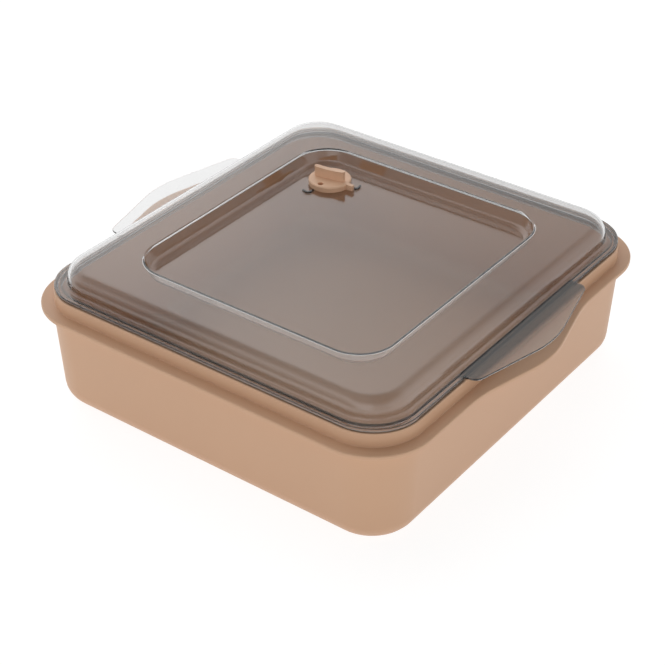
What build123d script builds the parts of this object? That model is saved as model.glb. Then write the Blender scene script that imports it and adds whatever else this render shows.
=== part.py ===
from build123d import *
import math
import os

# A reusable takeaway box: a peach tub, a clear smoke-grey lid that lifts straight off, and a small
# vent dial that turns in the lid. The origin is at the middle of the base, +Z is up, and the grip
# tabs are on the +X and -X sides. All sizes are in millimetres and degrees.

# Tub, outside
TUB_HALF_X = 96.9
TUB_HALF_Y = 102.3
TUB_CORNER = 21.5
TUB_DRAFT = 3.0
TUB_BOTTOM_ROUND = 9.8

# Tub, inside
FLOOR_THICKNESS = 2.6
WALL_AT_FLOOR = 2.2
CAVITY_DRAFT = 2.2
CAVITY_ROUND = 7.6

# Shallow hollow in the underside, which leaves a standing rim
FOOT_RIM_WIDTH = 8.0
FOOT_HOLLOW_DEPTH = 0.8

# Flange round the tub, and the collar that stands on it
FLANGE_HALF_X = 104.7
FLANGE_HALF_Y = 110.1
FLANGE_CORNER = 29.5
FLANGE_TOP = 53.0
FLANGE_THICKNESS = 2.2
FLANGE_EDGE_BEVEL = 0.7
COLLAR_HALF_X = 98.95
COLLAR_HALF_Y = 104.35
COLLAR_CORNER = 24.6
COLLAR_TOP = 59.7
COLLAR_DRAFT = 2.0
COLLAR_EDGE_BEVEL = 0.5

# Grip tabs: the outline that the tub's tab and the lid's tab share
TAB_PEAK = 115.2
TAB_FOOT_Y = 42.7
TAB_CROWN_RADIUS = 52.0
TAB_FOOT_RADIUS = 70.0
TAB_RUN_OUT_Y = 70.0
TAB_OVERLAP = 4.0

# Lid
LID_WALL = 1.2
DOME_HALF_X = 92.6
DOME_HALF_Y = 98.0
DOME_CORNER = 19.2
DOME_SHOULDER = 6.3
DOME_INNER_BEVEL = 3.6
LID_TOP = 70.5
LID_RIM_HALF_X = 98.0
LID_RIM_HALF_Y = 103.4
LID_RIM_CORNER = 22.8
LID_RIM_BOTTOM = 60.0
LID_RIM_THICKNESS = 2.0
LID_EDGE_BEVEL = 0.35
LID_ROOT_BEVEL = 0.8
LID_TAB_THICKNESS = 1.3
LID_TAB_HALF_LENGTH = 46.5
LID_TAB_CORNER = 3.0
PLUG_BOTTOM = 56.5
PLUG_THICKNESS = 1.2
PLUG_GAP = 0.35

# Recessed panel in the top of the lid
RECESS_HALF_X = 67.1
RECESS_HALF_Y = 72.5
RECESS_CORNER = 17.7
RECESS_DEPTH = 7.2
RECESS_DRAFT = 20.0
RECESS_FLOOR_ROUND = 3.0
RECESS_UNDER_BEVEL = 2.2
RECESS_LIP_BEVEL = 0.7

# Vent dial, in its own place near the back left corner of the recessed panel
DIAL_X = -45.4
DIAL_Y = 51.4
DIAL_RADIUS = 10.7
DIAL_THICKNESS = 2.8
DIAL_LIFT = 0.2
DIAL_EDGE_BEVEL = 0.5
POINTER_REACH = 14.2
POINTER_WIDTH = 2.0
FIN_LENGTH = 16.8
FIN_THICKNESS = 2.6
FIN_HEIGHT = 5.6
FIN_DIP = 0.8
FIN_FAR_END_DROP = 0.4
FIN_NEAR_END_DROP = 0.2
FIN_TURN = 9.0
STEM_RADIUS = 3.0
STEM_CLEARANCE = 0.05
BARB_RADIUS = 3.8
BARB_TIP_RADIUS = 2.3
BARB_LENGTH = 3.2
BARB_LAND = 0.5
SLIT_WIDTH = 1.3
VENT_RADIUS = 1.5
VENT_RING_RADIUS = 7.8

# Moulded stops on the panel, one at each end of the dial's quarter turn
STOP_WIDTH = 0.9
STOP_HEIGHT = 0.9
STOP_INNER = 11.5
STOP_OUTER = 15.6
STOP_BEND = 1.6
STOP_GAP = 0.3
STOP_HOOK_ANGLE = 22.0

# How far one shape runs into the next, so that they join as one moulding
JOIN = 0.4

# Edges whose heights differ by less than this lie at the same level
LEVEL = 1e-3

PANEL_TOP = LID_TOP - RECESS_DEPTH
PANEL_BOTTOM = PANEL_TOP - LID_WALL
LID_RIM_TOP = LID_RIM_BOTTOM + LID_RIM_THICKNESS


def rounded_block(half_x, half_y, corner, bottom, height, draft_angle=0.0):
    """Upright block with rounded corners that widens upwards by the draft angle."""
    outline = Pos(0, 0, bottom) * RectangleRounded(2 * half_x, 2 * half_y, corner)
    block = extrude(outline, amount=height)
    if not draft_angle:
        return block
    sides = [face for face in block.faces() if abs(face.normal_at().Z) < LEVEL]
    return draft(sides, Plane.XY.offset(bottom), -draft_angle)


def reach(edge):
    """How far an edge goes from the Z axis along X and along Y."""
    box = edge.bounding_box()
    return max(-box.min.X, box.max.X), max(-box.min.Y, box.max.Y)


def edges_at(shape, height):
    """The edges of a shape that lie level at one height."""
    return [
        edge
        for edge in shape.edges()
        if abs(edge.bounding_box().min.Z - height) < LEVEL
        and abs(edge.bounding_box().max.Z - height) < LEVEL
    ]


def within(edges, half_x, half_y):
    """The edges that stay inside a half width and a half length."""
    return [edge for edge in edges if reach(edge)[0] < half_x and reach(edge)[1] < half_y]


def tub_tab():
    """Grip tab of the tub: a low crowned bulge that runs out into the straight flange edge."""
    inner_x = FLANGE_HALF_X - TAB_OVERLAP
    wave = FilletPolyline(
        (FLANGE_HALF_X, -TAB_RUN_OUT_Y),
        (FLANGE_HALF_X, -TAB_FOOT_Y),
        (TAB_PEAK, 0),
        (FLANGE_HALF_X, TAB_FOOT_Y),
        (FLANGE_HALF_X, TAB_RUN_OUT_Y),
        radius=[TAB_FOOT_RADIUS, TAB_CROWN_RADIUS, TAB_FOOT_RADIUS],
    )
    back = Polyline(
        (FLANGE_HALF_X, TAB_RUN_OUT_Y),
        (inner_x, TAB_RUN_OUT_Y),
        (inner_x, -TAB_RUN_OUT_Y),
        (FLANGE_HALF_X, -TAB_RUN_OUT_Y),
    )
    return make_face(wave + back)


def lid_tab():
    """Grip tab of the lid: the same crown and slopes, cut off square with rounded corners."""
    inner_x = LID_RIM_HALF_X - TAB_OVERLAP
    slope = (TAB_PEAK - FLANGE_HALF_X) / TAB_FOOT_Y
    end_x = TAB_PEAK - slope * LID_TAB_HALF_LENGTH
    outline = FilletPolyline(
        (inner_x, -LID_TAB_HALF_LENGTH),
        (end_x, -LID_TAB_HALF_LENGTH),
        (TAB_PEAK, 0),
        (end_x, LID_TAB_HALF_LENGTH),
        (inner_x, LID_TAB_HALF_LENGTH),
        radius=[LID_TAB_CORNER, TAB_CROWN_RADIUS, LID_TAB_CORNER],
    )
    back = Line((inner_x, LID_TAB_HALF_LENGTH), (inner_x, -LID_TAB_HALF_LENGTH))
    return make_face(outline + back)


def both_sides(face):
    """A face on the +X side and its turned copy on the -X side."""
    return [face, face.rotate(Axis.Z, 180)]


def cavity_growth(height):
    """How far the tub's inside has widened at a height, beyond its half sizes at the floor."""
    return math.tan(math.radians(CAVITY_DRAFT)) * (height - FLOOR_THICKNESS)


def tub_shell():
    """Outer wall of the tub, from the standing face up to the flange."""
    shell = rounded_block(TUB_HALF_X, TUB_HALF_Y, TUB_CORNER, 0, FLANGE_TOP - JOIN, TUB_DRAFT)
    shell = fillet(edges_at(shell, 0), TUB_BOTTOM_ROUND)
    rim = TUB_BOTTOM_ROUND + FOOT_RIM_WIDTH
    hollow = rounded_block(
        TUB_HALF_X - rim,
        TUB_HALF_Y - rim,
        TUB_CORNER - FOOT_RIM_WIDTH,
        0,
        FOOT_HOLLOW_DEPTH,
    )
    return shell - hollow


def tub_flange():
    """Level flange with its two grip tabs, bevelled along its whole edge."""
    outline = RectangleRounded(2 * FLANGE_HALF_X, 2 * FLANGE_HALF_Y, FLANGE_CORNER)
    for tab in both_sides(tub_tab()):
        outline = outline + tab
    bottom = FLANGE_TOP - FLANGE_THICKNESS
    flange = extrude(Pos(0, 0, bottom) * outline, amount=FLANGE_THICKNESS)
    return chamfer(edges_at(flange, FLANGE_TOP) + edges_at(flange, bottom), FLANGE_EDGE_BEVEL)


def tub_collar():
    """Raised collar that the lid rests on, drafted inwards to a bevelled top edge."""
    collar = rounded_block(
        COLLAR_HALF_X,
        COLLAR_HALF_Y,
        COLLAR_CORNER,
        FLANGE_TOP - JOIN,
        COLLAR_TOP - FLANGE_TOP + JOIN,
        -COLLAR_DRAFT,
    )
    return chamfer(edges_at(collar, COLLAR_TOP), COLLAR_EDGE_BEVEL)


def tub_cavity():
    """Inside of the tub, with a rounded floor edge and a little draft."""
    cavity = rounded_block(
        TUB_HALF_X - WALL_AT_FLOOR,
        TUB_HALF_Y - WALL_AT_FLOOR,
        TUB_CORNER - WALL_AT_FLOOR,
        FLOOR_THICKNESS,
        COLLAR_TOP,
        CAVITY_DRAFT,
    )
    return fillet(edges_at(cavity, FLOOR_THICKNESS), CAVITY_ROUND)


def make_tub():
    """The open tub in one moulding."""
    return tub_shell() + tub_flange() + tub_collar() - tub_cavity()


def recess_block(grow, bottom, top):
    """The recess as a solid, grown by a wall thickness for the moulding round it."""
    spread = math.tan(math.radians(RECESS_DRAFT)) * (LID_TOP - bottom)
    return rounded_block(
        RECESS_HALF_X + grow - spread,
        RECESS_HALF_Y + grow - spread,
        RECESS_CORNER + grow - spread,
        bottom,
        top - bottom,
        RECESS_DRAFT,
    )


def lid_dome():
    """Raised hollow top of the lid: a big soft shoulder round a sunken panel."""
    dome = rounded_block(
        DOME_HALF_X, DOME_HALF_Y, DOME_CORNER, LID_RIM_BOTTOM, LID_TOP - LID_RIM_BOTTOM
    )
    dome = fillet(edges_at(dome, LID_TOP), DOME_SHOULDER)
    ceiling = LID_TOP - LID_WALL
    inside = rounded_block(
        DOME_HALF_X - LID_WALL,
        DOME_HALF_Y - LID_WALL,
        DOME_CORNER - LID_WALL,
        LID_RIM_BOTTOM - JOIN,
        ceiling - LID_RIM_BOTTOM + JOIN,
    )
    inside = chamfer(edges_at(inside, ceiling), DOME_INNER_BEVEL)
    bowl = recess_block(LID_WALL, PANEL_BOTTOM, ceiling + JOIN)
    bowl = chamfer(edges_at(bowl, PANEL_BOTTOM), RECESS_UNDER_BEVEL)
    recess = recess_block(0, PANEL_TOP, LID_TOP)
    recess = fillet(edges_at(recess, PANEL_TOP), RECESS_FLOOR_ROUND)
    dome = dome - inside + bowl - recess
    lip = within(edges_at(dome, LID_TOP), RECESS_HALF_X + LID_WALL, RECESS_HALF_Y + LID_WALL)
    return chamfer(lip, RECESS_LIP_BEVEL)


def lid_rim():
    """Level rim of the lid with a thinner grip tab on each side."""
    rim = rounded_block(
        LID_RIM_HALF_X, LID_RIM_HALF_Y, LID_RIM_CORNER, LID_RIM_BOTTOM, LID_RIM_THICKNESS
    )
    tab_bottom = LID_RIM_TOP - LID_TAB_THICKNESS
    for tab in both_sides(lid_tab()):
        rim = rim + extrude(Pos(0, 0, tab_bottom) * tab, amount=LID_TAB_THICKNESS)
    tab_edges = edges_at(rim, tab_bottom)
    tab_edges = [edge for edge in tab_edges if reach(edge)[0] > LID_RIM_HALF_X + LEVEL]
    rim_edges = edges_at(rim, LID_RIM_TOP) + edges_at(rim, LID_RIM_BOTTOM)
    rim = chamfer(rim_edges + tab_edges, LID_EDGE_BEVEL)
    opening = rounded_block(
        DOME_HALF_X - LID_WALL,
        DOME_HALF_Y - LID_WALL,
        DOME_CORNER - LID_WALL,
        LID_RIM_BOTTOM - JOIN,
        LID_RIM_THICKNESS + 2 * JOIN,
    )
    return rim - opening


def lid_plug():
    """Ring that drops inside the tub's collar and keeps the lid in place."""
    grow = cavity_growth(PLUG_BOTTOM)
    half_x = TUB_HALF_X - WALL_AT_FLOOR + grow - PLUG_GAP
    half_y = TUB_HALF_Y - WALL_AT_FLOOR + grow - PLUG_GAP
    corner = TUB_CORNER - WALL_AT_FLOOR + grow - PLUG_GAP
    height = LID_RIM_BOTTOM - PLUG_BOTTOM + JOIN
    ring = rounded_block(half_x, half_y, corner, PLUG_BOTTOM, height, CAVITY_DRAFT)
    ring = chamfer(edges_at(ring, PLUG_BOTTOM), LID_EDGE_BEVEL)
    return ring - rounded_block(
        half_x - PLUG_THICKNESS,
        half_y - PLUG_THICKNESS,
        corner - PLUG_THICKNESS,
        PLUG_BOTTOM - JOIN,
        height + 2 * JOIN,
    )


def stop_mark():
    """Hooked stop at the end of the dial's turn, beside the +X direction from the dial's axis."""
    side = POINTER_WIDTH / 2 + STOP_GAP + STOP_WIDTH / 2
    hook = math.radians(STOP_HOOK_ANGLE)
    path = FilletPolyline(
        (STOP_INNER, side),
        (STOP_OUTER, side),
        (STOP_OUTER * math.cos(hook), STOP_OUTER * math.sin(hook)),
        radius=STOP_BEND,
    )
    stroke = trace(path, line_width=STOP_WIDTH)
    return extrude(stroke, amount=STOP_HEIGHT + JOIN)


def make_lid():
    """The whole lid in one clear moulding."""
    lid = lid_dome() + lid_rim() + lid_plug()
    root = within(edges_at(lid, LID_RIM_TOP), DOME_HALF_X + LEVEL, DOME_HALF_Y + LEVEL)
    lid = chamfer(root, LID_ROOT_BEVEL)
    dial_seat = Pos(DIAL_X, DIAL_Y, PANEL_TOP - JOIN)
    right_stop = stop_mark()
    left_stop = right_stop.mirror(Plane.XZ).rotate(Axis.Z, -90)
    lid = lid + dial_seat * right_stop + dial_seat * left_stop
    stem_hole = Cylinder(STEM_RADIUS + STEM_CLEARANCE, 3 * LID_WALL)
    vent_hole = Cylinder(VENT_RADIUS, 3 * LID_WALL)
    middle = PANEL_TOP - LID_WALL / 2
    lid = lid - Pos(DIAL_X, DIAL_Y, middle) * stem_hole
    return lid - Pos(DIAL_X - VENT_RING_RADIUS, DIAL_Y, middle) * vent_hole


def dial_fin():
    """Upright finger grip with rounded ends and a slightly dished top edge."""
    half = FIN_LENGTH / 2
    crest = Spline(
        (-half, FIN_HEIGHT - FIN_FAR_END_DROP),
        (0, FIN_HEIGHT - FIN_DIP),
        (half, FIN_HEIGHT - FIN_NEAR_END_DROP),
    )
    side = make_face(crest + Polyline(crest @ 1, (half, -JOIN), (-half, -JOIN), crest @ 0))
    plan = extrude(SlotOverall(FIN_LENGTH, FIN_THICKNESS), amount=FIN_HEIGHT + JOIN)
    fin = extrude(Plane.XZ * side, amount=FIN_THICKNESS, both=True) & Pos(0, 0, -JOIN) * plan
    return fin.rotate(Axis.Z, FIN_TURN)


def dial_stem():
    """Split stem with a tapered barb that snaps through the panel, level with the disc's foot."""
    barb_top = PANEL_BOTTOM - PANEL_TOP - 2 * DIAL_LIFT
    barb_bottom = barb_top - BARB_LENGTH
    profile = Polyline(
        (0, JOIN),
        (STEM_RADIUS, JOIN),
        (STEM_RADIUS, barb_top),
        (BARB_RADIUS, barb_top),
        (BARB_RADIUS, barb_top - BARB_LAND),
        (BARB_TIP_RADIUS, barb_bottom),
        (0, barb_bottom),
        close=True,
    )
    stem = revolve(Plane.XZ * make_face(profile), Axis.Z)
    slit = Pos(0, 0, barb_bottom) * Box(SLIT_WIDTH, 4 * BARB_RADIUS, -2 * (barb_bottom + JOIN))
    return stem - slit


def make_dial():
    """Vent dial: disc, pointer, finger grip and snap stem in one moulding."""
    middle = DIAL_THICKNESS / 2
    disc = Pos(0, 0, middle) * Cylinder(DIAL_RADIUS, DIAL_THICKNESS)
    disc = chamfer(edges_at(disc, DIAL_THICKNESS), DIAL_EDGE_BEVEL)
    pointer = Pos(POINTER_REACH / 2, 0, middle) * Box(POINTER_REACH, POINTER_WIDTH, DIAL_THICKNESS)
    vent = Pos(0, -VENT_RING_RADIUS, middle) * Cylinder(VENT_RADIUS, 2 * DIAL_THICKNESS)
    fin = Pos(0, 0, DIAL_THICKNESS) * dial_fin()
    dial = disc + pointer - vent + fin + dial_stem()
    return Pos(DIAL_X, DIAL_Y, PANEL_TOP + DIAL_LIFT) * dial


os.makedirs("parts", exist_ok=True)
for node, shape in (("tub", make_tub()), ("lid", make_lid()), ("vent_dial", make_dial())):
    export_step(shape, "parts/" + node + ".step")
    print(node, "solids", len(shape.solids()), "volume", round(shape.volume), "mm3")
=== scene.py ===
"""Looks of a reusable takeaway box: a peach tub, a clear lid with a sunken panel, and a vent dial."""

import math

import bmesh
import bpy
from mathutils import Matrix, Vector
from mathutils.geometry import delaunay_2d_cdt


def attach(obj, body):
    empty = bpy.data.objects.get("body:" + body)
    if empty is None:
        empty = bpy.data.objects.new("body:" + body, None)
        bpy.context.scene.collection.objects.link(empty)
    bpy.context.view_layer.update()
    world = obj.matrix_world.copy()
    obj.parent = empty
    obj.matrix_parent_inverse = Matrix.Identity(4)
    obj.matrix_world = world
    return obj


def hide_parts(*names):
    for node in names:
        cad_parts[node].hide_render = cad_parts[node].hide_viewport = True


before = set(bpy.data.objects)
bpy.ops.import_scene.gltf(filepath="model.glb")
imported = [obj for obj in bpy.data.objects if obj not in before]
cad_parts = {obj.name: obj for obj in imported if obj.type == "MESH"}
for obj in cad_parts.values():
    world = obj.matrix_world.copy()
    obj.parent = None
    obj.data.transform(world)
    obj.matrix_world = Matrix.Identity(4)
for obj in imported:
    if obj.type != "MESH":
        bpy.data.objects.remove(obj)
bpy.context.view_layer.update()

bl_info = {
    "name": "Takeaway Box",
    "version": (1, 0, 0),
    "blender": (4, 5, 0),
    "location": "3D View > Sidebar > Takeaway Box",
    "description": "Finishes and a plain studio for a takeaway box with a clear lid and a vent dial",
    "category": "Object",
}

MM = 0.001
WHITE = (1.0, 1.0, 1.0, 1.0)

# Where the photograph was taken from: turned from the front towards +X, and above the table
CAMERA_TURN = math.radians(36.653)
CAMERA_RISE = math.radians(34.014)
CAMERA_PLACE = (0.39009, -0.53170, 0.46424)
CAMERA_LENS = 89.69
CAMERA_CLIP = (0.01, 20.0)
SENSOR_WIDTH = 36.0

# Sunken recess in the lid, in millimetres. Every other outline lies at an even distance outside it
RECESS_HALF_X = 67.1
RECESS_HALF_Y = 72.5
RECESS_CORNER = 17.7
RECESS_DEPTH = 7.2
RECESS_DRAFT = math.radians(20.0)
RECESS_FLOOR_ROUND = 3.0
RECESS_LIP_ROUND = 1.0
LIP_UNDERSIDE_ROUND = 0.8
PANEL_EDGE = 6.0

# Lid: distances outside the recess, heights, thicknesses and radii, in millimetres
LID_TOP = 70.5
LID_WALL = 1.2
DOME_OUT = 25.5
DOME_CORNER = 19.2
DOME_SHOULDER = 6.3
HOLLOW_SHOULDER = 5.1
DOME_FOOT_ROUND = 2.2
SHOULDER_RUN = 1.0
RIM_OUT = 30.9
RIM_CORNER = 22.8
RIM_BOTTOM = 60.0
RIM_TOP = 61.6
RIM_EDGE_ROUND = 0.5
RIM_ROOT_ROUND = 1.2
PLUG_OUT = 29.32
PLUG_CORNER = 21.02
PLUG_BOTTOM = 56.5
PLUG_THICKNESS = 1.2
PLUG_DRAFT = math.radians(2.2)
TAB_PEAK = 115.2
TAB_SLOPE = 0.2459
TAB_HALF_LENGTH = 46.5
TAB_CORNER = 5.0
TAB_CROWN = 52.0
TAB_BOTTOM = 60.7

# Holes and stops in the sunken panel, in millimetres. A stop's outline starts from the dial's middle
DIAL_PLACE = (-45.4, 51.4)
STEM_HOLE_RADIUS = 3.05
VENT_PLACE = (-53.2, 51.4)
VENT_RADIUS = 1.5
STOP_HEIGHT = 0.9
STOP_WIDTH = 0.9
STOP_SIDE = 1.75
STOP_INNER = 11.5
STOP_OUTER = 15.6
STOP_HOOK = math.radians(22.0)
STOP_BEND = 1.6

# Tub: distances outside the recess, heights and radii, in millimetres
TUB_OUT = 29.8
TUB_CORNER = 21.5
TUB_DRAFT = math.radians(3.0)
TUB_BOTTOM_ROUND = 9.8
FOOT_HOLLOW_OUT = 12.0
FOOT_HOLLOW_DEPTH = 0.8
FOOT_EDGE_ROUND = 0.4
CAVITY_OUT = 27.6
CAVITY_DRAFT = math.radians(2.2)
CAVITY_ROUND = 7.6
FLOOR_TOP = 2.6
FLANGE_OUT = 37.6
FLANGE_CORNER = 29.5
FLANGE_TOP = 53.0
FLANGE_BOTTOM = 50.8
FLANGE_EDGE_ROUND = 0.6
FLANGE_ROOT_ROUND = 0.3
COLLAR_OUT = 31.85
COLLAR_CORNER = 24.6
COLLAR_FOOT = 52.6
COLLAR_TOP = 59.7
COLLAR_DRAFT = math.radians(2.0)
COLLAR_EDGE_ROUND = 0.6
COLLAR_EDGE_RUN = 0.66
TUB_TAB_FOOT_ROUND = 70.0
TUB_TAB_RUN_OUT = 70.0

# Steps in a ring's corner and in a round, points along a ring's side and round a hole, and the smallest
# turn between faces that stays a sharp edge
CORNER_STEPS = 16
ROUND_STEPS = 8
SIDE_POINTS = 3 * (ROUND_STEPS + 1) + 2
HOLE_POINTS = 48
CREASE = math.radians(30)

# Smallest corner of a ring, and distances too small to matter, in millimetres
LEAST_CORNER = 0.1
HAIR = 1e-4
LEAST_EDGE = 1e-5
FILL_REACH = 1e-6

# Places of the lid's four plastics in its list of materials. Rim faces in the tab zone are tab plastic
DOME, RIM, TABS, STOPS = range(4)
TAB_ZONE_X = 91.4
TAB_ZONE_Y = 52.0

# Moulded plastic: slow drift of the colour, and fine grain in the roughness and the bump
DRIFT_SCALE = 14.0
DRIFT_DETAIL = 2.0
GRAIN_SCALE = 2600.0
GRAIN_DETAIL = 3.0
GRAIN_ROUGHNESS = 0.08
PEACH_DRIFT = 0.03
PEACH_IOR = 1.46
BUMP_STRENGTH = 0.12
BUMP_DISTANCE = 0.02

# Clear plastic: its smoke takes away more light the longer the way through it
CLEAR_DRIFT = 0.01
CLEAR_ROUGHNESS = 0.06
SMOKE_GREY = 0.5
DOME_SMOKE = 60.0
RIM_SMOKE = 10.0
TAB_SMOKE = 60.0
# The stops' smoke is so dense that they come out nearly black: painted dark, standing in for the dark
# refraction of their steep walls
STOP_PAINTED_DARK_SMOKE = 4000.0

# Painted shade at the root of the +X tab only, standing in for the shadowed collar under the tab seen through
# it: where it sets in and ends, in millimetres, and its linear colours
PAINTED_SHADE_SIDE = (0.0, 25.5)
PAINTED_SHADE_DEPTH = (102.0, 106.5)
PAINTED_SHADE_ENDS = (45.0, 47.0)
ROOT_CLEAR = (0.97, 0.97, 0.97, 1.0)
PAINTED_SHADE_GREY = (0.17, 0.175, 0.18, 1.0)

# Soft light of the sky. Heights are sines of the angle above the table, turns go from the front to +X,
# and a spread is the cosine of the angle to a place, from where a change starts to where it is full
LIGHT_RISE = (0.0, 0.2)
LIGHT_EASE = (0.3, 0.6)
SIDE_TURN = math.radians(45)
FACING_BLEND = 0.4
BACK_SHARE = 0.5
KEY_TURN = math.radians(-125)
KEY_RISE = math.radians(42)
KEY_SPREAD = (0.5, 1.0)

# Room that the gloss mirrors: brighter at the left and far right, darker at the front left and overhead
MIRROR_ACROSS = (-0.12, 0.16)
MIRROR_RISE = (0.62, 0.93)
FRONT_TURN = math.radians(-30)
FRONT_SPREAD = (0.75, 0.97)
FRONT_MIRROR = 0.25
FAR_SPREAD = (0.35, 0.75)
FAR_MIRROR = 1.5

# Room seen through the clear plastic: darker near the table and overhead
THROUGH_START = (0.1, 0.45)
THROUGH_LOW = 0.6
THROUGH_RISE = (0.25, 0.75)

# Floor: half its width in metres, its drop in millimetres, and its greys and glows
FLOOR_HALF = 4.0
FLOOR_DROP = 0.2
FLOOR_GREY = 0.9
FLOOR_GLOW = 0.42
SEEN_FLOOR_GREY = 0.25
SEEN_FLOOR_GLOW = 0.88
FLOOR_BEHIND = 0.85


def linear(colour):
    """A colour given as on a screen, turned into the linear values that shaders use."""
    parts = [c / 12.92 if c <= 0.04045 else ((c + 0.055) / 1.055) ** 2.4 for c in colour]
    return (*parts, 1.0)


def colour_property(name, description, default):
    """A colour that a user can change, held as on a screen."""
    return bpy.props.FloatVectorProperty(
        name=name,
        description=description,
        default=default,
        size=3,
        min=0.0,
        max=1.0,
        subtype="COLOR_GAMMA",
    )


def share_property(name, description, default):
    """A share from nothing to all that a user can change."""
    return bpy.props.FloatProperty(
        name=name,
        description=description,
        default=default,
        min=0.0,
        max=1.0,
        subtype="FACTOR",
    )


def strength_property(name, description, default):
    """A brightness that a user can change."""
    return bpy.props.FloatProperty(
        name=name,
        description=description,
        default=default,
        min=0.0,
        max=5.0,
    )


class BoxFinish(bpy.types.PropertyGroup):
    """Colours and surface finish of the plastics."""

    peach: colour_property("Peach", "Colour of the tub", (0.810, 0.652, 0.528))
    # The dial's peach is the tub's peach painted lighter, to make up for the dimmer light the dial gets
    dial_peach_painted_lighter: colour_property("Dial peach painted lighter", "Colour of the vent dial", (0.90, 0.74, 0.615))
    smoke: colour_property("Smoke", "Tint of the clear lid", (0.985, 0.985, 0.985))
    peach_roughness: share_property("Peach roughness", "How matt the peach plastic is", 0.42)
    dome_passing: share_property(
        "Light through dome", "Share of the light that passes each face of the dome, panel and tabs", 0.86
    )
    rim_passing: share_property(
        "Light through rim", "Share of the light that passes each face of the rim and stops", 0.1
    )
    lid_ior: bpy.props.FloatProperty(
        name="Lid refraction",
        description="How strongly the clear plastic bends light",
        default=1.585,
        min=1.0,
        max=2.0,
    )


class StudioLook(bpy.types.PropertyGroup):
    """Light of the studio, and the room that the gloss mirrors."""

    main_light: strength_property("Main light", "Strength of the soft light all round the box", 1.1)
    key_light: strength_property("Key light", "Strength of the soft light from behind", 1.5)
    top_light: strength_property("Top light", "Strength of the soft light overhead", 0.12)
    low_light: strength_property("Low light", "Strength of the light just above the table", 0.5)
    right_mirror: strength_property("Right in gloss", "Brightness of the room's right side in gloss", 0.88)
    side_mirror: strength_property("Side in gloss", "Brightness of the room's left side in gloss", 1.8)
    top_mirror: strength_property("Ceiling", "Brightness of the ceiling in gloss and clear plastic", 0.3)


def quarter_turn(steps):
    """Angles of a quarter turn in even steps."""
    return [math.pi / 2 * step / steps for step in range(steps + 1)]


def rounded_path(corners):
    """Points along a path of (x, y, radius) corners, with each corner rounded by its own radius."""
    points = []
    for index, (x, y, radius) in enumerate(corners):
        here = Vector((x, y))
        if not radius:
            points.append(here)
            continue
        back = (Vector(corners[index - 1][:2]) - here).normalized()
        ahead = (Vector(corners[index + 1][:2]) - here).normalized()
        half = back.angle(ahead) / 2
        centre = here + (back + ahead).normalized() * radius / math.sin(half)
        start = here + back * radius / math.tan(half) - centre
        end = here + ahead * radius / math.tan(half) - centre
        turn = math.atan2(start.x * end.y - start.y * end.x, start.dot(end))
        for step in range(ROUND_STEPS + 1):
            angle = turn * step / ROUND_STEPS
            cos, sin = math.cos(angle), math.sin(angle)
            points.append(centre + Vector((start.x * cos - start.y * sin, start.x * sin + start.y * cos)))
    return points


def edge_round(radius):
    """Steps round a level edge, from its flat face to its upright one, as pairs of inset and drop."""
    turns = quarter_turn(ROUND_STEPS)
    return [(radius * (1 - math.sin(turn)), radius * (1 - math.cos(turn))) for turn in turns]


def tab_side(inset):
    """The +X side of the lid's rim, from -Y to +Y: out round the grip tab, kept in by an inset."""
    root = RECESS_HALF_X + RIM_OUT - inset
    end_y = TAB_HALF_LENGTH - inset
    peak = TAB_PEAK - inset * math.hypot(1.0, TAB_SLOPE)
    end_x = peak - TAB_SLOPE * end_y
    corner, crown = TAB_CORNER - inset, TAB_CROWN - inset
    path = [
        (root, -end_y, 0),
        (end_x, -end_y, corner),
        (peak, 0, crown),
        (end_x, end_y, corner),
        (root, end_y, 0),
    ]
    return rounded_path(path)


def flange_side(inset):
    """The +X side of the tub's flange, from -Y to +Y: a wave out to its grip tab, kept in by an inset."""
    edge = RECESS_HALF_X + FLANGE_OUT - inset
    peak = TAB_PEAK - inset * math.hypot(1.0, TAB_SLOPE)
    foot_y = (peak - edge) / TAB_SLOPE
    foot, crown = TUB_TAB_FOOT_ROUND + inset, TAB_CROWN - inset
    path = [
        (edge, -TUB_TAB_RUN_OUT, 0),
        (edge, -foot_y, foot),
        (peak, 0, crown),
        (edge, foot_y, foot),
        (edge, TUB_TAB_RUN_OUT, 0),
    ]
    return rounded_path(path)


def straight_side(half_x, reach):
    """The +X side of a plain ring, with as many points from -Y to +Y as a side with a tab."""
    return [Vector((half_x, reach * (2 * step / (SIDE_POINTS - 1) - 1))) for step in range(SIDE_POINTS)]


def ring(out, up, corner, side=None, reach=TAB_HALF_LENGTH):
    """A level loop with rounded corners, at a distance outside the recess; side is its +X side, and a plain
    one has its points spread as far as the reach."""
    half_x, half_y = RECESS_HALF_X + out, RECESS_HALF_Y + out
    side = side or straight_side(half_x, reach)
    turns = quarter_turn(CORNER_STEPS)
    middle_x, middle_y = half_x - corner, half_y - corner
    half = [(middle_x + corner * math.sin(a), -middle_y - corner * math.cos(a)) for a in turns]
    half += [(point.x, point.y) for point in side]
    half += [(middle_x + corner * math.cos(a), middle_y + corner * math.sin(a)) for a in turns]
    loop = half + [(-x, -y) for x, y in half]
    return [(x, y, up) for x, y in loop]


def rings_along(path, corner, reach=TAB_HALF_LENGTH):
    """Plain rings along a path of (distance outside the recess, height, radius); corner is the corner that
    a ring at the recess would have."""
    return [ring(out, up, max(corner + out, LEAST_CORNER), None, reach) for out, up in rounded_path(path)]


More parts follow.
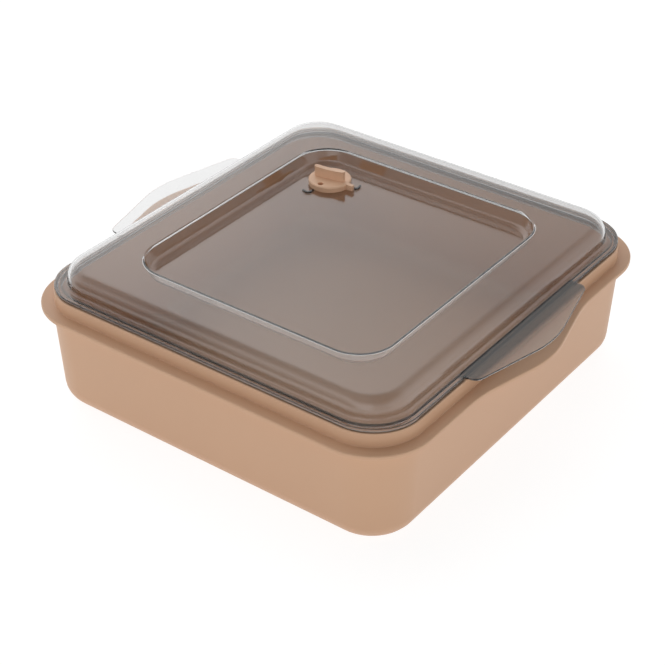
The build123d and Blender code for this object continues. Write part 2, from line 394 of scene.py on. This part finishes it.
def lid_rings():
    """Loops of the lid from the panel's top, over the outside and back underneath to the panel, with the
    plastic of each band between them."""
    slope = math.tan(RECESS_DRAFT)
    panel_top = LID_TOP - RECESS_DEPTH
    panel_bottom = panel_top - LID_WALL
    ceiling = LID_TOP - LID_WALL
    inner = DOME_OUT - LID_WALL
    flare = math.tan(PLUG_DRAFT) * (RIM_BOTTOM - PLUG_BOTTOM)
    over = [
        (-PANEL_EDGE, panel_top, 0),
        (-slope * RECESS_DEPTH, panel_top, RECESS_FLOOR_ROUND),
        (0, LID_TOP, RECESS_LIP_ROUND),
        (3 * RECESS_LIP_ROUND, LID_TOP, 0),
    ]
    shoulder = [
        (DOME_OUT - DOME_SHOULDER - SHOULDER_RUN, LID_TOP, 0),
        (DOME_OUT, LID_TOP, DOME_SHOULDER),
        (DOME_OUT, RIM_TOP, RIM_ROOT_ROUND),
        (DOME_OUT + 2 * RIM_ROOT_ROUND, RIM_TOP, 0),
    ]
    plug = [
        (PLUG_OUT + flare, RIM_BOTTOM, 0),
        (PLUG_OUT, PLUG_BOTTOM, RIM_EDGE_ROUND),
        (PLUG_OUT - PLUG_THICKNESS, PLUG_BOTTOM, 0),
        (PLUG_OUT - PLUG_THICKNESS, RIM_BOTTOM, 0),
    ]
    hollow = [
        (inner + 2 * DOME_FOOT_ROUND, RIM_BOTTOM, 0),
        (inner, RIM_BOTTOM, DOME_FOOT_ROUND),
        (inner, ceiling, HOLLOW_SHOULDER),
        (inner - DOME_SHOULDER, ceiling, 0),
    ]
    bowl = [
        (4 * LID_WALL, ceiling, 0),
        (LID_WALL - slope * LID_WALL, ceiling, LIP_UNDERSIDE_ROUND),
        (LID_WALL - slope * (LID_TOP - panel_bottom), panel_bottom, RECESS_FLOOR_ROUND + LID_WALL),
        (-PANEL_EDGE, panel_bottom, 0),
    ]
    rings = rings_along(over, RECESS_CORNER) + rings_along(shoulder, DOME_CORNER - DOME_OUT)
    rim_start = len(rings) - 1
    down = edge_round(RIM_EDGE_ROUND)
    for inset, drop in down:
        rings.append(ring(RIM_OUT - inset, RIM_TOP - drop, RIM_CORNER - inset, tab_side(inset)))
    outside = RECESS_HALF_X + RIM_OUT + HAIR
    for inset, rise in reversed(down):
        loop = ring(RIM_OUT, TAB_BOTTOM, RIM_CORNER, tab_side(inset))
        rings.append([(x, y, TAB_BOTTOM + rise if abs(x) > outside else z) for x, y, z in loop])
    for inset, rise in reversed(down):
        rings.append(ring(RIM_OUT - inset, RIM_BOTTOM + rise, RIM_CORNER - inset))
    rings += rings_along(plug, PLUG_CORNER - PLUG_OUT)
    rim_end = len(rings)
    rings += rings_along(hollow, DOME_CORNER - DOME_OUT) + rings_along(bowl, RECESS_CORNER)
    plastics = [RIM if rim_start <= band < rim_end else DOME for band in range(len(rings) - 1)]
    return rings, plastics


def tub_rings():
    """Loops of the tub from the floor inside, over the flange and down to the hollow underside."""
    wall_out = TUB_OUT + math.tan(TUB_DRAFT) * FLANGE_BOTTOM
    cavity_out = CAVITY_OUT + math.tan(CAVITY_DRAFT) * (COLLAR_TOP - FLOOR_TOP)
    collar_out = COLLAR_OUT - math.tan(COLLAR_DRAFT) * (COLLAR_TOP - COLLAR_FOOT)
    underside = [
        (FOOT_HOLLOW_OUT - 2 * FOOT_EDGE_ROUND, FOOT_HOLLOW_DEPTH, 0),
        (FOOT_HOLLOW_OUT, FOOT_HOLLOW_DEPTH, FOOT_EDGE_ROUND),
        (FOOT_HOLLOW_OUT, 0, FOOT_EDGE_ROUND),
        (TUB_OUT, 0, TUB_BOTTOM_ROUND),
        (wall_out, FLANGE_BOTTOM, FLANGE_ROOT_ROUND),
        (wall_out + 2 * FLANGE_ROOT_ROUND, FLANGE_BOTTOM, 0),
    ]
    collar = [
        (COLLAR_OUT + 2 * FLANGE_ROOT_ROUND, FLANGE_TOP, 0),
        (COLLAR_OUT, FLANGE_TOP, FLANGE_ROOT_ROUND),
        (collar_out, COLLAR_TOP, COLLAR_EDGE_ROUND),
        (collar_out - COLLAR_EDGE_RUN, COLLAR_TOP, 0),
    ]
    cavity = [
        (cavity_out + COLLAR_EDGE_RUN, COLLAR_TOP, 0),
        (cavity_out, COLLAR_TOP, COLLAR_EDGE_ROUND),
        (CAVITY_OUT, FLOOR_TOP, CAVITY_ROUND),
        (CAVITY_OUT - 2 * CAVITY_ROUND, FLOOR_TOP, 0),
    ]
    down = edge_round(FLANGE_EDGE_ROUND)
    flange = [(inset, FLANGE_BOTTOM + rise) for inset, rise in down]
    flange += [(inset, FLANGE_TOP - drop) for inset, drop in reversed(down)]
    rings = rings_along(underside, TUB_CORNER - TUB_OUT, TUB_TAB_RUN_OUT)
    for inset, up in flange:
        rings.append(ring(FLANGE_OUT - inset, up, FLANGE_CORNER - inset, flange_side(inset)))
    rings += rings_along(collar, COLLAR_CORNER - COLLAR_OUT, TUB_TAB_RUN_OUT)
    rings += rings_along(cavity, TUB_CORNER - TUB_OUT, TUB_TAB_RUN_OUT)
    return rings[::-1]


def circle(place, radius):
    """Points of a circle on the panel."""
    turns = [2 * math.pi * step / HOLE_POINTS for step in range(HOLE_POINTS)]
    return [(place[0] + radius * math.cos(turn), place[1] + radius * math.sin(turn)) for turn in turns]


def stop_outline(flip):
    """Outline of a hooked stop beside the dial; the flipped one is at the other end of its turn."""
    hook = (STOP_OUTER * math.cos(STOP_HOOK), STOP_OUTER * math.sin(STOP_HOOK))
    middle = rounded_path([(STOP_INNER, STOP_SIDE, 0), (STOP_OUTER, STOP_SIDE, STOP_BEND), (*hook, 0)])
    left, right = [], []
    for index, point in enumerate(middle):
        along = middle[min(index + 1, len(middle) - 1)] - middle[max(index - 1, 0)]
        across = Vector((-along.y, along.x)).normalized() * STOP_WIDTH / 2
        left.append(point + across)
        right.append(point - across)
    outline = left + right[::-1]
    if flip:
        outline = [Vector((-point.y, -point.x)) for point in outline]
    return [(DIAL_PLACE[0] + point.x, DIAL_PLACE[1] + point.y) for point in outline]


def inside(point, loop):
    """Whether a point lies inside a closed loop."""
    count = 0
    for (ax, ay, *_), (bx, by, *_) in zip(loop, loop[1:] + loop[:1]):
        if (ay > point.y) != (by > point.y) and point.x < ax + (point.y - ay) * (bx - ax) / (by - ay):
            count += 1
    return count % 2 == 1


def fill_flat(mesh, loops, up, facing_up):
    """Fill the area inside the first loop and outside the others, level at one height."""
    points, edges = [], []
    for loop in loops:
        start = len(points)
        points += [Vector(point[:2]) for point in loop]
        edges += [(start + i, start + (i + 1) % len(loop)) for i in range(len(loop))]
    filled = delaunay_2d_cdt(points, edges, [], 0, FILL_REACH)
    places, faces = filled[0], filled[2]
    corners = [mesh.verts.new((place.x, place.y, up)) for place in places]
    for face in faces:
        middle = sum((places[i] for i in face), Vector((0, 0))) / len(face)
        if any(inside(middle, loop) for loop in loops[1:]) or not inside(middle, loops[0]):
            continue
        a, b, c = (places[i] for i in face[:3])
        turn = (b.x - a.x) * (c.y - a.y) - (b.y - a.y) * (c.x - a.x)
        mesh.faces.new([corners[i] for i in (face if (turn > 0) == facing_up else face[::-1])])


def upright_wall(mesh, loop, low, high, outwards):
    """Upright wall along a loop, facing away from its inside or into it."""
    bottom = [mesh.verts.new((x, y, low)) for x, y in loop]
    top = [mesh.verts.new((x, y, high)) for x, y in loop]
    area = sum(a[0] * b[1] - b[0] * a[1] for a, b in zip(loop, loop[1:] + loop[:1]))
    for i in range(len(loop)):
        j = (i + 1) % len(loop)
        quad = [bottom[i], bottom[j], top[j], top[i]]
        mesh.faces.new(quad if (area > 0) == outwards else quad[::-1])


def sweep(mesh, loops, plastics=None):
    """Skin of quads through a row of loops; plastics gives each band its place in the materials."""
    rows = [[mesh.verts.new(point) for point in loop] for loop in loops]
    for band, (lower, upper) in enumerate(zip(rows, rows[1:])):
        for i in range(len(lower)):
            j = (i + 1) % len(lower)
            face = mesh.faces.new([lower[i], upper[i], upper[j], lower[j]])
            face.material_index = plastics[band] if plastics else 0


def smooth_mesh(mesh, name):
    """Join, scale and shade a mesh made in millimetres, with sharp edges only where it turns a corner."""
    bmesh.ops.remove_doubles(mesh, verts=mesh.verts, dist=HAIR)
    bmesh.ops.dissolve_degenerate(mesh, edges=mesh.edges, dist=LEAST_EDGE)
    bmesh.ops.scale(mesh, vec=(MM, MM, MM), verts=mesh.verts)
    for face in mesh.faces:
        face.smooth = True
    for edge in mesh.edges:
        edge.smooth = edge.is_manifold and edge.calc_face_angle(0.0) < CREASE
    data = bpy.data.meshes.new(name)
    mesh.to_mesh(data)
    mesh.free()
    return data


def tub_mesh():
    """The whole tub as one closed smooth mesh."""
    mesh = bmesh.new()
    loops = tub_rings()
    sweep(mesh, loops)
    fill_flat(mesh, [loops[0]], loops[0][0][2], True)
    fill_flat(mesh, [loops[-1]], loops[-1][0][2], False)
    return smooth_mesh(mesh, "Tub")


def lid_mesh():
    """The whole clear lid as one closed smooth mesh, with each face in its own plastic."""
    mesh = bmesh.new()
    loops, plastics = lid_rings()
    sweep(mesh, loops, plastics)
    for face in mesh.faces:
        middle = face.calc_center_median()
        if face.material_index == RIM and abs(middle.x) > TAB_ZONE_X and abs(middle.y) < TAB_ZONE_Y:
            face.material_index = TABS
    top, bottom = loops[0][0][2], loops[-1][0][2]
    holes = [circle(DIAL_PLACE, STEM_HOLE_RADIUS), circle(VENT_PLACE, VENT_RADIUS)]
    stops = [stop_outline(False), stop_outline(True)]
    fill_flat(mesh, [loops[0]] + holes + stops, top, True)
    fill_flat(mesh, [loops[-1]] + holes, bottom, False)
    for hole in holes:
        upright_wall(mesh, hole, bottom, top, False)
    plain = set(mesh.faces)
    for stop in stops:
        upright_wall(mesh, stop, top, top + STOP_HEIGHT, True)
        fill_flat(mesh, [stop], top + STOP_HEIGHT, True)
    for face in mesh.faces:
        if face not in plain:
            face.material_index = STOPS
    return smooth_mesh(mesh, "Clear lid")


def new_group(name, inputs, outputs):
    """An empty shader node group with named sockets."""
    group = bpy.data.node_groups.new(name, "ShaderNodeTree")
    for label, kind, default in inputs:
        socket = group.interface.new_socket(label, in_out="INPUT", socket_type=kind)
        socket.default_value = default
    for label, kind in outputs:
        group.interface.new_socket(label, in_out="OUTPUT", socket_type=kind)
    return group


def place_group(nodes, group, **values):
    """A group node with its own values."""
    node = nodes.new("ShaderNodeGroup")
    node.node_tree = group
    for label, value in values.items():
        node.inputs[label].default_value = value
    return node


def noise(nodes, links, place, detail):
    """A noise texture over the object's own coordinates."""
    texture = nodes.new("ShaderNodeTexNoise")
    texture.inputs["Detail"].default_value = detail
    links.new(place, texture.inputs["Vector"])
    return texture


def ramp(nodes, links, value, start, end, low, high):
    """A smooth change from low to high while a value goes from start to end."""
    blend = nodes.new("ShaderNodeMapRange")
    blend.interpolation_type = "SMOOTHSTEP"
    blend.inputs["From Min"].default_value = start
    blend.inputs["From Max"].default_value = end
    blend.inputs["To Min"].default_value = low
    blend.inputs["To Max"].default_value = high
    links.new(value, blend.inputs["Value"])
    return blend.outputs["Result"]


def combine(nodes, links, operation, first, *others):
    """Values put together one after another by the same operation."""
    for other in others:
        node = nodes.new("ShaderNodeMath")
        node.operation = operation
        links.new(first, node.inputs[0])
        links.new(other, node.inputs[1])
        first = node.outputs["Value"]
    return first


def by_ray(nodes, links, shown, cases):
    """A shader that gives way to another one for each kind of ray named in the cases."""
    path = nodes.new("ShaderNodeLightPath")
    for ray, seen in cases:
        mix = nodes.new("ShaderNodeMixShader")
        links.new(path.outputs[ray], mix.inputs["Fac"])
        links.new(shown, mix.inputs[1])
        links.new(seen, mix.inputs[2])
        shown = mix.outputs["Shader"]
    return shown


def moulded_grain():
    """Shader group: the fine grain and slow colour drift of moulded plastic."""
    found = bpy.data.node_groups.get("Moulded grain")
    if found:
        return found
    inputs = [
        ("Colour", "NodeSocketColor", WHITE),
        ("Drift", "NodeSocketFloat", 0.0),
        ("Roughness", "NodeSocketFloat", 0.0),
        ("Grain scale", "NodeSocketFloat", GRAIN_SCALE),
    ]
    outputs = [
        ("Colour", "NodeSocketColor"),
        ("Roughness", "NodeSocketFloat"),
        ("Height", "NodeSocketFloat"),
    ]
    group = new_group("Moulded grain", inputs, outputs)
    nodes, links = group.nodes, group.links
    given = nodes.new("NodeGroupInput").outputs
    put = nodes.new("NodeGroupOutput").inputs
    place = nodes.new("ShaderNodeTexCoord").outputs["Object"]
    drift = noise(nodes, links, place, DRIFT_DETAIL)
    drift.inputs["Scale"].default_value = DRIFT_SCALE
    swing = nodes.new("ShaderNodeMapRange")
    swing.inputs["To Min"].default_value = -1.0
    swing.inputs["To Max"].default_value = 1.0
    links.new(drift.outputs["Fac"], swing.inputs["Value"])
    amount = nodes.new("ShaderNodeMath")
    amount.operation = "MULTIPLY_ADD"
    amount.inputs[2].default_value = 1.0
    links.new(swing.outputs["Result"], amount.inputs[0])
    links.new(given["Drift"], amount.inputs[1])
    tinted = nodes.new("ShaderNodeVectorMath")
    tinted.operation = "SCALE"
    links.new(given["Colour"], tinted.inputs[0])
    links.new(amount.outputs["Value"], tinted.inputs["Scale"])
    links.new(tinted.outputs["Vector"], put["Colour"])
    grain = noise(nodes, links, place, GRAIN_DETAIL)
    links.new(given["Grain scale"], grain.inputs["Scale"])
    links.new(grain.outputs["Fac"], put["Height"])
    rough = nodes.new("ShaderNodeMath")
    rough.operation = "MULTIPLY_ADD"
    rough.inputs[1].default_value = GRAIN_ROUGHNESS
    links.new(grain.outputs["Fac"], rough.inputs[0])
    links.new(given["Roughness"], rough.inputs[2])
    links.new(rough.outputs["Value"], put["Roughness"])
    return group


def painted_root_shade():
    """Shader group: painted shade, a darker grey in the clear plastic at the +X tab's root, standing in for
    the shadowed collar seen through the tab.
    """
    group = new_group("Painted root shade", [], [("Colour", "NodeSocketColor")])
    nodes, links = group.nodes, group.links
    put = nodes.new("NodeGroupOutput").inputs
    place = nodes.new("ShaderNodeTexCoord").outputs["Object"]
    parts = nodes.new("ShaderNodeSeparateXYZ")
    links.new(place, parts.inputs["Vector"])
    length = nodes.new("ShaderNodeMath")
    length.operation = "ABSOLUTE"
    links.new(parts.outputs["Y"], length.inputs[0])
    near = ramp(nodes, links, parts.outputs["X"], *(edge * MM for edge in PAINTED_SHADE_SIDE), 0.0, 1.0)
    depth = ramp(nodes, links, parts.outputs["X"], *(edge * MM for edge in PAINTED_SHADE_DEPTH), 1.0, 0.0)
    ends = ramp(nodes, links, length.outputs["Value"], *(edge * MM for edge in PAINTED_SHADE_ENDS), 1.0, 0.0)
    blend = nodes.new("ShaderNodeMix")
    blend.data_type = "RGBA"
    clear, grey = [socket for socket in blend.inputs if socket.type == "RGBA"]
    clear.default_value = ROOT_CLEAR
    grey.default_value = PAINTED_SHADE_GREY
    links.new(combine(nodes, links, "MULTIPLY", near, depth, ends), blend.inputs["Factor"])
    result = next(socket for socket in blend.outputs if socket.type == "RGBA")
    links.new(result, put["Colour"])
    return group


def peach_plastic(name, colour, roughness):
    """Satin moulded plastic."""
    material = bpy.data.materials.new(name)
    material.use_nodes = True
    nodes, links = material.node_tree.nodes, material.node_tree.links
    surface = nodes["Principled BSDF"]
    tint = linear(colour)
    grain = place_group(nodes, moulded_grain(), Colour=tint, Drift=PEACH_DRIFT, Roughness=roughness)
    bump = nodes.new("ShaderNodeBump")
    bump.inputs["Strength"].default_value = BUMP_STRENGTH
    bump.inputs["Distance"].default_value = BUMP_DISTANCE * MM
    links.new(grain.outputs["Height"], bump.inputs["Height"])
    links.new(bump.outputs["Normal"], surface.inputs["Normal"])
    links.new(grain.outputs["Colour"], surface.inputs["Base Color"])
    links.new(grain.outputs["Roughness"], surface.inputs["Roughness"])
    surface.inputs["IOR"].default_value = PEACH_IOR
    return material


def clear_plastic(name, finish, passing_share, smokiness, shade=None):
    """Clear lid plastic, slightly smoky in its depth, which lets a share of the light through each face to
    the inside. The colour of a painted shade group, where one is given, takes the place of the lid's plain
    tint."""
    material = bpy.data.materials.new(name)
    material.use_nodes = True
    nodes, links = material.node_tree.nodes, material.node_tree.links
    surface = nodes["Principled BSDF"]
    output = nodes["Material Output"]
    grain = place_group(nodes, moulded_grain(), Colour=linear(finish.smoke), Drift=CLEAR_DRIFT)
    links.new(grain.outputs["Colour"], surface.inputs["Base Color"])
    if shade:
        painted_shade_node = place_group(nodes, shade)
        links.new(painted_shade_node.outputs["Colour"], grain.inputs["Colour"])
    surface.inputs["Roughness"].default_value = CLEAR_ROUGHNESS
    surface.inputs["IOR"].default_value = finish.lid_ior
    surface.inputs["Transmission Weight"].default_value = 1.0
    passing = nodes.new("ShaderNodeBsdfTransparent")
    passing.inputs["Color"].default_value = (passing_share, passing_share, passing_share, 1.0)
    cases = [(ray, passing.outputs["BSDF"]) for ray in ("Is Shadow Ray", "Is Diffuse Ray")]
    links.new(by_ray(nodes, links, surface.outputs["BSDF"], cases), output.inputs["Surface"])
    smoke = nodes.new("ShaderNodeVolumeAbsorption")
    smoke.inputs["Color"].default_value = (SMOKE_GREY, SMOKE_GREY, SMOKE_GREY, 1.0)
    smoke.inputs["Density"].default_value = smokiness
    links.new(smoke.outputs["Volume"], output.inputs["Volume"])
    return material


def stand_in(context, name, data, materials, node):
    """A smooth piece that stands for a CAD piece, hidden in its place, moves with its body and takes its
    materials.
    """
    piece = bpy.data.objects.new(name, data)
    context.scene.collection.objects.link(piece)
    for material in materials:
        data.materials.append(material)
    even = piece.modifiers.new("Even normals", "WEIGHTED_NORMAL")
    even.keep_sharp = True
    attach(piece, node)
    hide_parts(node)


def dress(node, material):
    """Give a CAD piece its material."""
    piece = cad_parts[node]
    piece.data.materials.clear()
    piece.data.materials.append(material)


class BOX_OT_tub(bpy.types.Operator):
    """Make the smooth peach tub."""

    bl_idname = "takeaway_box.tub"
    bl_label = "Tub"

    def execute(self, context):
        finish = context.scene.box_finish
        material = peach_plastic("Tub peach", finish.peach, finish.peach_roughness)
        stand_in(context, "Peach_tub", tub_mesh(), [material], "tub")
        return {"FINISHED"}


class BOX_OT_lid(bpy.types.Operator):
    """Make the smooth clear lid."""

    bl_idname = "takeaway_box.lid"
    bl_label = "Lid"

    def execute(self, context):
        finish = context.scene.box_finish
        plastics = [
            clear_plastic("Clear dome", finish, finish.dome_passing, DOME_SMOKE),
            clear_plastic("Clear rim", finish, finish.rim_passing, RIM_SMOKE),
            # The tabs' plastic carries the painted shade at the +X tab's root
            clear_plastic("Clear tabs with painted shade", finish, finish.dome_passing, TAB_SMOKE, painted_root_shade()),
            # The stops are painted nearly black, standing in for the dark refraction of their steep walls
            clear_plastic("Stops painted dark", finish, finish.rim_passing, STOP_PAINTED_DARK_SMOKE),
        ]
        stand_in(context, "Clear_lid", lid_mesh(), plastics, "lid")
        return {"FINISHED"}


class BOX_OT_dial(bpy.types.Operator):
    """Finish the vent dial."""

    bl_idname = "takeaway_box.dial"
    bl_label = "Vent dial"

    def execute(self, context):
        finish = context.scene.box_finish
        # The dial gets the tub's peach painted lighter, standing in for light it lacks
        dress("vent_dial", peach_plastic("Dial peach painted lighter", finish.dial_peach_painted_lighter, finish.peach_roughness))
        return {"FINISHED"}


def studio_camera(scene):
    """The camera, where the photograph was taken from."""
    data = bpy.data.cameras.new("Camera")
    data.lens = CAMERA_LENS
    data.sensor_width = SENSOR_WIDTH
    data.clip_start, data.clip_end = CAMERA_CLIP
    camera = bpy.data.objects.new("Camera", data)
    camera.location = CAMERA_PLACE
    camera.rotation_euler = (math.pi / 2 - CAMERA_RISE, 0.0, CAMERA_TURN)
    scene.collection.objects.link(camera)
    scene.camera = camera


def towards(nodes, links, place, turn, rise=0.0):
    """How straight a direction on the sky points to a place turned from the front and risen above the
    table: the cosine of the angle between them."""
    level = math.cos(rise)
    dot = nodes.new("ShaderNodeVectorMath")
    dot.operation = "DOT_PRODUCT"
    dot.inputs[1].default_value = (level * math.sin(turn), -level * math.cos(turn), math.sin(rise))
    links.new(place, dot.inputs[0])
    return dot.outputs["Value"]


def white_light(nodes, links, strength):
    """White sky of a strength that varies over the sky."""
    light = nodes.new("ShaderNodeBackground")
    light.inputs["Color"].default_value = WHITE
    links.new(strength, light.inputs["Strength"])
    return light.outputs["Background"]


def studio_sky(scene, look):
    """Soft light all round the box, stronger at the front, with a soft key light from behind. Gloss and clear
    plastic show rooms of their own, and the camera sees white."""
    world = bpy.data.worlds.new("Studio sky")
    world.use_nodes = True
    nodes, links = world.node_tree.nodes, world.node_tree.links
    place = nodes.new("ShaderNodeTexCoord").outputs["Generated"]
    parts = nodes.new("ShaderNodeSeparateXYZ")
    links.new(place, parts.inputs["Vector"])
    height = parts.outputs["Z"]
    front = towards(nodes, links, place, SIDE_TURN)
    window = towards(nodes, links, place, KEY_TURN, KEY_RISE)
    right = towards(nodes, links, place, CAMERA_TURN + math.pi / 2)
    front_left = towards(nodes, links, place, FRONT_TURN)

    rising = ramp(nodes, links, height, *LIGHT_RISE, look.low_light, look.main_light)
    easing = ramp(nodes, links, height, *LIGHT_EASE, 1.0, 0.0)
    facing = ramp(nodes, links, front, -FACING_BLEND, FACING_BLEND, BACK_SHARE, 1.0)
    key = ramp(nodes, links, window, *KEY_SPREAD, look.top_light, look.key_light)
    around = combine(nodes, links, "MULTIPLY", rising, easing, facing)
    light = white_light(nodes, links, combine(nodes, links, "ADD", around, key))

    across = ramp(nodes, links, right, *MIRROR_ACROSS, look.side_mirror, look.right_mirror)
    ceiling = ramp(nodes, links, height, *MIRROR_RISE, 1.0, look.top_mirror)
    darker = ramp(nodes, links, front_left, *FRONT_SPREAD, 1.0, FRONT_MIRROR)
    far = ramp(nodes, links, right, *FAR_SPREAD, 1.0, FAR_MIRROR)
    mirrored = white_light(nodes, links, combine(nodes, links, "MULTIPLY", across, ceiling, darker, far))

    low = ramp(nodes, links, height, *THROUGH_START, THROUGH_LOW, 1.0)
    dimming = ramp(nodes, links, height, *THROUGH_RISE, 1.0, look.top_mirror)
    through = white_light(nodes, links, combine(nodes, links, "MULTIPLY", low, dimming))

    white = nodes["Background"]
    white.inputs["Color"].default_value = WHITE
    white.inputs["Strength"].default_value = 1.0
    cases = [
        ("Is Glossy Ray", mirrored),
        ("Is Transmission Ray", through),
        ("Is Camera Ray", white.outputs["Background"]),
    ]
    links.new(by_ray(nodes, links, light, cases), nodes["World Output"].inputs["Surface"])
    scene.world = world


def glow(nodes, strength):
    """Plain white glow."""
    emission = nodes.new("ShaderNodeEmission")
    emission.inputs["Color"].default_value = WHITE
    emission.inputs["Strength"].default_value = strength
    return emission.outputs["Emission"]


def glowing_grey(nodes, links, grey, strength):
    """Matt grey with a glow of its own."""
    matt = nodes.new("ShaderNodeBsdfDiffuse")
    matt.inputs["Color"].default_value = (grey, grey, grey, 1.0)
    both = nodes.new("ShaderNodeAddShader")
    links.new(matt.outputs["BSDF"], both.inputs[0])
    links.new(glow(nodes, strength), both.inputs[1])
    return both.outputs["Shader"]


def studio_floor(scene):
    """Pale floor that keeps the box's soft shadow."""
    mesh = bpy.data.meshes.new("Floor")
    corners = [
        (-FLOOR_HALF, -FLOOR_HALF, 0),
        (FLOOR_HALF, -FLOOR_HALF, 0),
        (FLOOR_HALF, FLOOR_HALF, 0),
        (-FLOOR_HALF, FLOOR_HALF, 0),
    ]
    mesh.from_pydata(corners, [], [(0, 1, 2, 3)])
    floor = bpy.data.objects.new("Floor", mesh)
    floor.location.z = -FLOOR_DROP * MM
    scene.collection.objects.link(floor)
    material = bpy.data.materials.new("Floor white")
    material.use_nodes = True
    nodes, links = material.node_tree.nodes, material.node_tree.links
    lit = glowing_grey(nodes, links, FLOOR_GREY, FLOOR_GLOW)
    seen = glowing_grey(nodes, links, SEEN_FLOOR_GREY, SEEN_FLOOR_GLOW)
    cases = [
        ("Is Camera Ray", seen),
        ("Is Glossy Ray", seen),
        ("Is Transmission Ray", glow(nodes, FLOOR_BEHIND)),
    ]
    links.new(by_ray(nodes, links, lit, cases), nodes["Material Output"].inputs["Surface"])
    mesh.materials.append(material)


class BOX_OT_stage(bpy.types.Operator):
    """Set up the camera, the floor and the soft light."""

    bl_idname = "takeaway_box.stage"
    bl_label = "Studio"

    def execute(self, context):
        scene = context.scene
        studio_camera(scene)
        studio_sky(scene, scene.studio_look)
        studio_floor(scene)
        scene.view_settings.view_transform = "Standard"
        return {"FINISHED"}


class BOX_PT_panel(bpy.types.Panel):
    """Sidebar panel with the finishes, the light and the build steps."""

    bl_label = "Takeaway Box"
    bl_idname = "BOX_PT_panel"
    bl_space_type = "VIEW_3D"
    bl_region_type = "UI"
    bl_category = "Takeaway Box"

    def draw(self, context):
        layout = self.layout
        for group in (context.scene.box_finish, context.scene.studio_look):
            for name in group.__annotations__:
                layout.prop(group, name)
        for step in STEPS:
            layout.operator(step.bl_idname)


STEPS = (BOX_OT_tub, BOX_OT_lid, BOX_OT_dial, BOX_OT_stage)
CLASSES = (BoxFinish, StudioLook, *STEPS, BOX_PT_panel)


def register():
    """Add the classes and their settings to Blender."""
    for kind in CLASSES:
        bpy.utils.register_class(kind)
    bpy.types.Scene.box_finish = bpy.props.PointerProperty(type=BoxFinish)
    bpy.types.Scene.studio_look = bpy.props.PointerProperty(type=StudioLook)


def unregister():
    """Take the classes and their settings out again."""
    del bpy.types.Scene.box_finish
    del bpy.types.Scene.studio_look
    for kind in reversed(CLASSES):
        bpy.utils.unregister_class(kind)


def main():
    """Build the box and its studio."""
    register()
    bpy.ops.takeaway_box.tub()
    bpy.ops.takeaway_box.lid()
    bpy.ops.takeaway_box.dial()
    bpy.ops.takeaway_box.stage()


if __name__ == "__main__":
    main()
